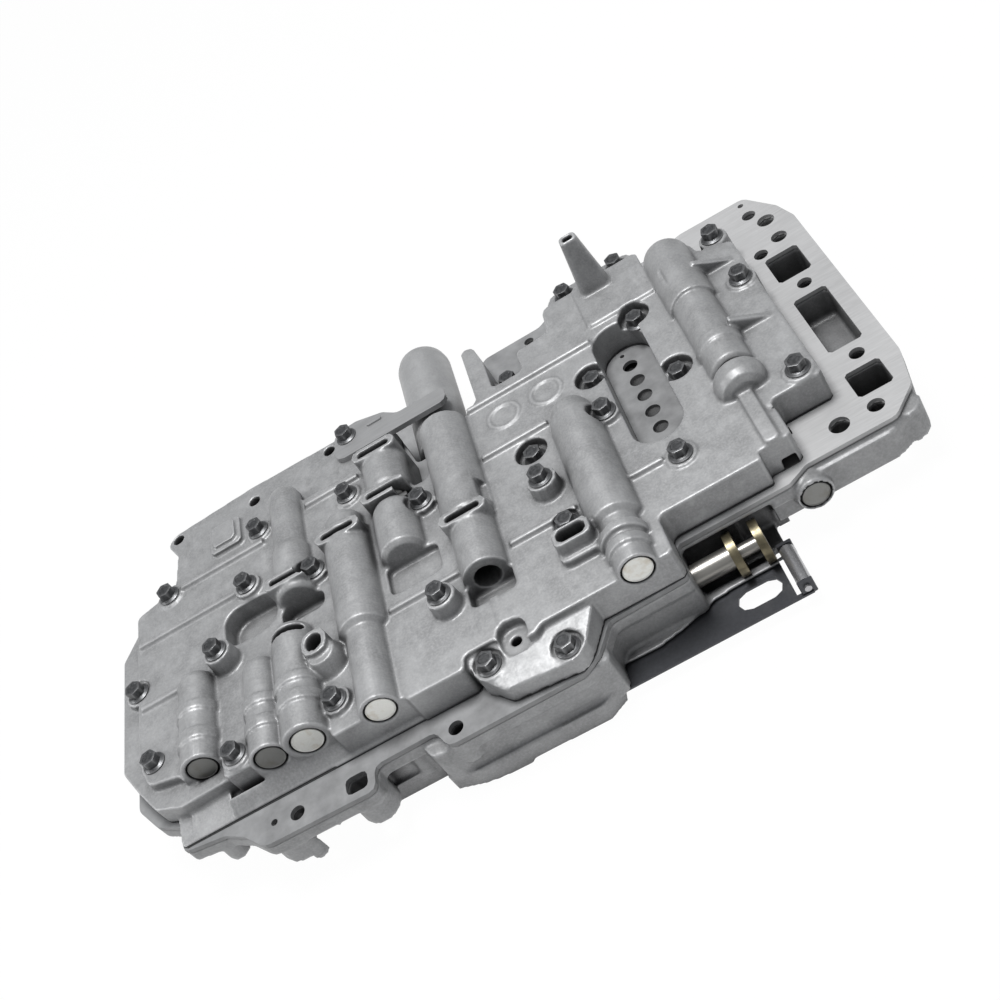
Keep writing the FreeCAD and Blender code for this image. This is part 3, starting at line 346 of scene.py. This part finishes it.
def dark_bolt_steel():
    """Phosphated steel, worn bright on its edges and black at its foot from painted shade."""
    s = Shader("phosphated_bolt")
    wear = s.span(s.add("ShaderNodeNewGeometry").outputs["Pointiness"], 0.52, 0.62, to_high=0.85)
    base = s.ramp(s.noise(700.0, detail=3.0), [(0.35, bolt_grey), (0.75, scaled(bolt_grey, 2.1))])
    worn = s.mix(wear, base, bolt_worn)
    # Painted shade: darker at the bolt's foot, where walls are near
    painted_shade = s.span(s.occlusion(bolt_reach), 0.2, 0.8, to_low=0.85, to_high=0.0)
    colour = s.mix(painted_shade, worn, hollow_black)
    s.bump(s.noise(1600.0, detail=2.0), strength=0.12, distance=0.15 * mm)
    rough = s.span(s.noise(240.0), 0.2, 0.8, to_low=0.30, to_high=0.48)
    return s.finish(colour, rough, metallic=0.75)


def plug_metal(name, colour, stain, share):
    """Turned plug face with a faint stain of old oil and painted shade at its rim."""
    s = Shader(name)
    cloud = s.noise(120.0, detail=3.0)
    fine = s.noise(1300.0, detail=2.0)
    base = s.mix(s.span(fine, 0.4, 0.7, to_high=0.25), colour, scaled(colour, 0.8))
    stained = s.mix(s.span(cloud, 0.5, 0.66, to_high=share), base, stain)
    # Painted shade: darker at the plug's rim, where the bore's wall is near
    painted_shade = s.span(s.occlusion(rim_reach), 0.3, 0.85, to_low=0.95, to_high=0.0)
    mixed = s.mix(painted_shade, stained, hollow_black)
    s.bump(fine, strength=0.05, distance=0.1 * mm)
    return s.finish(mixed, roughness=0.34, metallic=0.30)


def plain(name, colour, roughness, metallic, grain=900.0):
    """One colour with a fine even grain."""
    s = Shader(name)
    fine = s.noise(grain, detail=2.0)
    mixed = s.mix(s.span(fine, 0.35, 0.7, to_high=0.4), colour, scaled(colour, 1.35))
    s.bump(fine, strength=0.08, distance=0.1 * mm)
    return s.finish(mixed, roughness, metallic)


def new_object(name, mesh, material):
    """Piece of the scene that rides on the housing."""
    obj = bpy.data.objects.new(name, mesh)
    scene.collection.objects.link(obj)
    mesh.materials.append(material)
    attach(obj, "housing")
    return obj


def finish_piece(build, node, suffix, material, sharp_from):
    """Turns a built mesh into the piece that stands in for a node."""
    mesh = bpy.data.meshes.new(node + suffix)
    bmesh.ops.recalc_face_normals(build, faces=build.faces)
    build.to_mesh(mesh)
    build.free()
    obj = new_object(node + suffix, mesh, material)
    mesh.set_sharp_from_angle(angle=math.radians(sharp_from))
    for face in mesh.polygons:
        face.use_smooth = True
    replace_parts(obj, node)
    return obj


def welded(node):
    """Mesh of a CAD node with its split corners joined again."""
    build = bmesh.new()
    build.from_mesh(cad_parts[node].data)
    bmesh.ops.remove_doubles(build, verts=build.verts, dist=1e-6)
    return build


def add_forms(build, forms):
    """Adds upright solids, given by outline and levels, to a mesh being built."""
    for outline, low, high in forms:
        under = [build.verts.new((x * mm, y * mm, low * mm)) for x, y in outline]
        over = [build.verts.new((x * mm, y * mm, high * mm)) for x, y in outline]
        faces = [build.faces.new(under), build.faces.new(over)]
        for i in range(len(outline)):
            j = (i + 1) % len(outline)
            faces.append(build.faces.new((under[i], under[j], over[j], over[i])))
        bmesh.ops.recalc_face_normals(build, faces=faces)


def modified(mesh, name, steps):
    """Mesh that a list of modifiers, each a kind with its settings, makes of another."""
    draft = bpy.data.objects.new(name + "_draft", mesh)
    scene.collection.objects.link(draft)
    for kind, settings in steps:
        step = draft.modifiers.new(kind.lower(), kind)
        for key, value in settings.items():
            setattr(step, key, value)
    made = bpy.data.meshes.new_from_object(draft.evaluated_get(bpy.context.evaluated_depsgraph_get()))
    bpy.data.objects.remove(draft)
    return made


def soft_casting(node, name, voxel, faces, material, forms=()):
    """Copy of a casting with every edge and corner softened as a mould leaves it."""
    build = welded(node)
    add_forms(build, forms)
    mesh = bpy.data.meshes.new(name)
    build.to_mesh(mesh)
    build.free()
    size = voxel * mm
    made = modified(mesh, name, [("REMESH", {"mode": "VOXEL", "voxel_size": size}),
                                 ("SMOOTH", {"factor": 0.5, "iterations": soften_passes})])
    share = faces / max(1, sum(len(p.vertices) - 2 for p in made.polygons))
    if share < 1.0:
        made = modified(made, name, [("DECIMATE", {"ratio": share})])
    made.name = name
    for face in made.polygons:
        face.use_smooth = True
    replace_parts(new_object(name, made, material), node)


def corners_of(places):
    """Lowest and highest corner of the box round some points."""
    low = Vector([min(place[i] for place in places) for i in range(3)])
    high = Vector([max(place[i] for place in places) for i in range(3)])
    return low, high


def islands(node):
    """Lowest and highest corner of every separate solid of a node."""
    build = welded(node)
    left = set(build.verts)
    found = []
    while left:
        stack = [left.pop()]
        group = []
        while stack:
            vert = stack.pop()
            group.append(vert.co.copy())
            for edge in vert.link_edges:
                other = edge.other_vert(vert)
                if other in left:
                    left.discard(other)
                    stack.append(other)
        found.append(corners_of(group))
    build.free()
    return sorted(found, key=lambda pair: (pair[0].x, pair[0].y))


def join_rings(build, rings):
    """Faces between rings of points that follow each other; a ring of one point is a tip."""
    for first, second in zip(rings, rings[1:]):
        count = max(len(first), len(second))
        for i in range(count):
            j = (i + 1) % count
            if len(first) == 1:
                build.faces.new((first[0], second[i], second[j]))
            elif len(second) == 1:
                build.faces.new((first[j], first[i], second[0]))
            else:
                build.faces.new((first[i], first[j], second[j], second[i]))


def lathe(build, profile, centre, axis, around=48):
    """Adds a turned form of (along, radius) points to a mesh being built."""
    turn = Vector((0, 0, 1)).rotation_difference(axis).to_matrix()
    rings = []
    for along, radius in profile:
        if radius < 1e-7:
            rings.append([build.verts.new(centre + turn @ Vector((0, 0, along)))])
            continue
        ring = []
        for i in range(around):
            angle = 2 * math.pi * i / around
            point = Vector((radius * math.cos(angle), radius * math.sin(angle), along))
            ring.append(build.verts.new(centre + turn @ point))
        rings.append(ring)
    join_rings(build, rings)


def hexagon_head(build, centre, across, low, high, turn):
    """Adds a hexagonal head with a crowned, slightly dished top."""
    corner = across / 2 / math.cos(math.pi / 6)
    # Level, share of the full width, and how round the outline has become
    levels = [(low, 1.0, 0.0), (high - 0.35 * mm, 1.0, 0.0), (high - 0.08 * mm, 0.985, 0.15),
              (high, 0.94, 0.3), (high, 0.70, 1.0), (high - 0.3 * mm, 0.62, 1.0)]
    rings = []
    for level, shrink, roundness in levels:
        ring = []
        for i in range(head_points):
            angle = 2 * math.pi * i / head_points
            local = (angle + math.pi / 6) % (math.pi / 3) - math.pi / 6
            side = across / 2 / math.cos(local)
            radius = (side * (1 - roundness) + min(side, across / 2) * roundness) * shrink
            radius = min(radius, corner - 0.1 * mm)
            point = Vector((radius * math.cos(angle + turn), radius * math.sin(angle + turn), level))
            ring.append(build.verts.new(centre + point))
        rings.append(ring)
    join_rings(build, rings)
    build.faces.new(rings[-1])


def flange_bolts(node, material):
    """Finer flange bolts on the places of a bolt node."""
    build = bmesh.new()
    for number, (low, high) in enumerate(islands(node)):
        centre = Vector(((low.x + high.x) / 2, (low.y + high.y) / 2, 0))
        seat = high.z - bolt_head
        top = seat + flange_rise
        # Chamfered shank, rim of the flange and its taper up to the head
        profile = [(low.z, 0.0), (low.z, shank_r - tip_chamfer), (low.z + tip_chamfer, shank_r),
                   (seat, shank_r), (seat, flange_r - 0.2 * mm), (seat + 0.25 * mm, flange_r),
                   (seat + 0.7 * mm, flange_r - 0.1 * mm), (seat + 1.1 * mm, flange_r * 0.88),
                   (top, flange_r * 0.74), (top, 0.0)]
        lathe(build, profile, centre, Vector((0, 0, 1)))
        hexagon_head(build, centre, bolt_hexagon, seat + 1.0 * mm, high.z, number * head_turn_step)
    finish_piece(build, node, "_fine", material, sharp_from=35)


def fine_plugs(node, material):
    """Plug faces with a rounded rim and a shallow turned groove."""
    build = bmesh.new()
    for low, high in islands(node):
        centre = Vector(((low.x + high.x) / 2, low.y, (low.z + high.z) / 2))
        radius = (high.x - low.x) / 2
        long = high.y - low.y
        way = Vector((0, 1, 0))
        if centre.x > back_plug_past[0] and centre.z > back_plug_past[1]:
            centre.y = high.y
            way = Vector((0, -1, 0))
        # Dished face, turned groove, then the full width
        profile = [(plug_dish, 0.0), (plug_dish, radius * 0.80), (0.0, radius * 0.84),
                   (0.0, radius - 1.0 * mm), (0.3 * mm, radius - 0.75 * mm),
                   (1.6 * mm, radius - 0.6 * mm), (1.9 * mm, radius), (long, radius), (long, 0.0)]
        lathe(build, profile, centre, way, around=plug_points)
    finish_piece(build, node, "_fine", material, sharp_from=35)


def wound_spring(node, material):
    """Coil in place of a spring's sleeve, which shortens as its valve or piston slides."""
    low, high = corners_of([v.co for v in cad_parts[node].data.vertices])
    middle = (low + high) / 2
    reach = (high.x - low.x) / 2 - wire_r
    rise = high.y - low.y - 2 * wire_r
    turns = max(least_turns, round(rise / coil_pitch))
    along = Vector((0, 1, 0))
    build = bmesh.new()
    rings = []
    for step in range(turns * coil_steps + 1):
        # The first and the last turn lie closed, those between are open
        turn = step / coil_steps
        if turn < 1:
            level = 2 * wire_r * turn
        elif turn > turns - 1:
            level = rise - 2 * wire_r * (turns - turn)
        else:
            level = 2 * wire_r + (rise - 4 * wire_r) * (turn - 1) / (turns - 2)
        out = Vector((math.cos(2 * math.pi * turn), 0, math.sin(2 * math.pi * turn)))
        centre = Vector((middle.x, low.y + wire_r + level, middle.z)) + out * reach
        ring = []
        for side in range(wire_sides):
            angle = 2 * math.pi * side / wire_sides
            side_way = math.cos(angle) * out + math.sin(angle) * along
            ring.append(build.verts.new(centre + wire_r * side_way))
        rings.append(ring)
    join_rings(build, rings)
    build.faces.new(rings[0])
    build.faces.new(rings[-1])
    obj = finish_piece(build, node, "_coil", material, sharp_from=50)
    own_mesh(obj)


def give(node, material):
    """Puts a material on a CAD node that keeps its own mesh."""
    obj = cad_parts[node]
    for place in obj.material_slots:
        place.link = "OBJECT"
        place.material = material


def make_camera():
    """Camera at the place from which the photograph was taken."""
    data = bpy.data.cameras.new("view")
    data.sensor_width = sensor_mm
    data.lens = lens_mm
    data.clip_start = 0.01
    data.clip_end = 20.0
    obj = bpy.data.objects.new("view", data)
    scene.collection.objects.link(obj)
    turn = Matrix((camera_right, camera_up, camera_back)).transposed()
    obj.matrix_world = Matrix.Translation(camera_place) @ turn.to_4x4()
    scene.camera = obj


def area_lamp(name, place, aim, size, power):
    """Round lamp that shines from its place at its aim."""
    data = bpy.data.lights.new(name, "AREA")
    data.shape = "DISK"
    data.size = size
    data.energy = power
    obj = bpy.data.objects.new(name, data)
    scene.collection.objects.link(obj)
    obj.location = place
    obj.rotation_euler = (Vector(aim) - Vector(place)).to_track_quat("-Z", "Y").to_euler()


def seen_rays(tree):
    """Share of rays that look straight at, mirror or pass through to a surface."""
    path = tree.nodes.new("ShaderNodeLightPath")
    total = path.outputs["Is Camera Ray"]
    for name in ("Is Glossy Ray", "Is Transmission Ray"):
        add = tree.nodes.new("ShaderNodeMath")
        add.operation = "MAXIMUM"
        tree.links.new(total, add.inputs[0])
        tree.links.new(path.outputs[name], add.inputs[1])
        total = add.outputs[0]
    return total


def make_sky():
    """White sky, which lights the part less strongly than it is seen."""
    world = bpy.data.worlds.new("studio")
    scene.world = world
    world.use_nodes = True
    tree = world.node_tree
    back = tree.nodes["Background"]
    back.inputs["Color"].default_value = (*sky_white, 1.0)
    level = tree.nodes.new("ShaderNodeMapRange")
    level.inputs["To Min"].default_value = sky_light
    level.inputs["To Max"].default_value = 1.0
    path = tree.nodes.new("ShaderNodeLightPath")
    tree.links.new(path.outputs["Is Camera Ray"], level.inputs["Value"])
    tree.links.new(level.outputs["Result"], back.inputs["Strength"])


def white_paper():
    """Matt white that glows where it is looked at and is clear from beneath."""
    paper = bpy.data.materials.new("white_paper")
    paper.use_nodes = True
    tree = paper.node_tree
    surface = tree.nodes["Principled BSDF"]
    surface.inputs["Base Color"].default_value = (*paper_white, 1.0)
    surface.inputs["Roughness"].default_value = 0.9
    glow = tree.nodes.new("ShaderNodeEmission")
    glow.inputs["Strength"].default_value = 1.0
    blend = tree.nodes.new("ShaderNodeMixShader")
    share = tree.nodes.new("ShaderNodeMath")
    share.operation = "MULTIPLY"
    share.inputs[1].default_value = floor_glow
    tree.links.new(seen_rays(tree), share.inputs[0])
    tree.links.new(share.outputs[0], blend.inputs["Fac"])
    tree.links.new(surface.outputs["BSDF"], blend.inputs[1])
    tree.links.new(glow.outputs["Emission"], blend.inputs[2])
    beneath = tree.nodes.new("ShaderNodeMixShader")
    tree.links.new(tree.nodes.new("ShaderNodeNewGeometry").outputs["Backfacing"], beneath.inputs["Fac"])
    tree.links.new(blend.outputs["Shader"], beneath.inputs[1])
    tree.links.new(tree.nodes.new("ShaderNodeBsdfTransparent").outputs["BSDF"], beneath.inputs[2])
    tree.links.new(beneath.outputs["Shader"], tree.nodes["Material Output"].inputs["Surface"])
    return paper


def make_floor():
    """Pale floor in the plane of the rest pads."""
    mesh = bpy.data.meshes.new("floor")
    corners = [(x * floor_half, y * floor_half, 0) for x, y in ((-1, -1), (1, -1), (1, 1), (-1, 1))]
    mesh.from_pydata(corners, [], [(0, 1, 2, 3)])
    mesh.materials.append(white_paper())
    floor = bpy.data.objects.new("floor", mesh)
    scene.collection.objects.link(floor)


def dress():
    """Gives every node its finish and replaces what needs a finer form."""
    bolt = dark_bolt_steel()
    upper_cast = cast_metal("upper_cast", tone=1.0)
    soft_casting("upper_body", "upper_casting", upper_voxel, upper_faces, upper_cast)
    # Lower casting with painted light on its back
    lower_cast = cast_metal("lower_cast", tone=0.9, painted_light_back=True)
    soft_casting("lower_body", "lower_casting", lower_voxel, lower_faces, lower_cast, lower_forms)
    for node in ("body_bolts", "long_bolts", "short_bolts", "pocket_bolts", "strip_bolt"):
        flange_bolts(node, bolt)
    pale_plug = plug_metal("pale_plug", plug_white, plug_stain, share=0.5)
    fine_plugs("bright_plugs", pale_plug)
    dark_plug = plug_metal("dark_plug", plug_dark, plug_dark_stain, share=0.4)
    fine_plugs("dark_plugs", dark_plug)
    # Plate with painted shade on its left
    give("separator_plate", milled_steel("plate_steel", plate_grey, (0.46, 0.58), 0.2, shaded_left=True))
    give("cover_strip", milled_steel("strip_steel", strip_grey, (0.36, 0.5), metallic=0.5))
    give("upper_gasket", plain("gasket_sheet", gasket_black, roughness=0.8, metallic=0.0))
    give("lower_gasket", plain("grey_sheet", gasket_grey, roughness=0.7, metallic=0.1))
    give("retaining_keys", plain("key_steel", key_grey, roughness=0.45, metallic=0.6))
    give("accumulator_cap", plain("cap_steel", plug_dark, roughness=0.4, metallic=0.6))
    ground = plain("ground_valve", valve_grey, roughness=0.28, metallic=0.8, grain=1500.0)
    wire = plain("spring_wire", wire_grey, roughness=0.4, metallic=0.8)
    for node in list(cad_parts):
        if node.startswith("shift_valve") or (node.endswith("_valve") and node != "manual_valve"):
            give(node, ground)
            spring = node.replace("shift_valve_", "shift_").replace("_valve", "") + "_spring"
            wound_spring(spring, wire)
    give("accumulator_piston", ground)
    wound_spring("accumulator_spring", wire)
    give("manual_valve", two_tone_spool())
    give("detent_spring", plain("blued_spring", spring_black, roughness=0.32, metallic=0.7, grain=600.0))
    give("detent_screws", bolt)
    roller = plain("roller_steel", roller_grey, roughness=0.26, metallic=0.85)
    give("detent_roller", roller)
    give("roller_pin", roller)


scene.view_settings.view_transform = "Standard"
make_camera()
make_sky()
for lamp in lamps:
    area_lamp(*lamp)
make_floor()
dress()
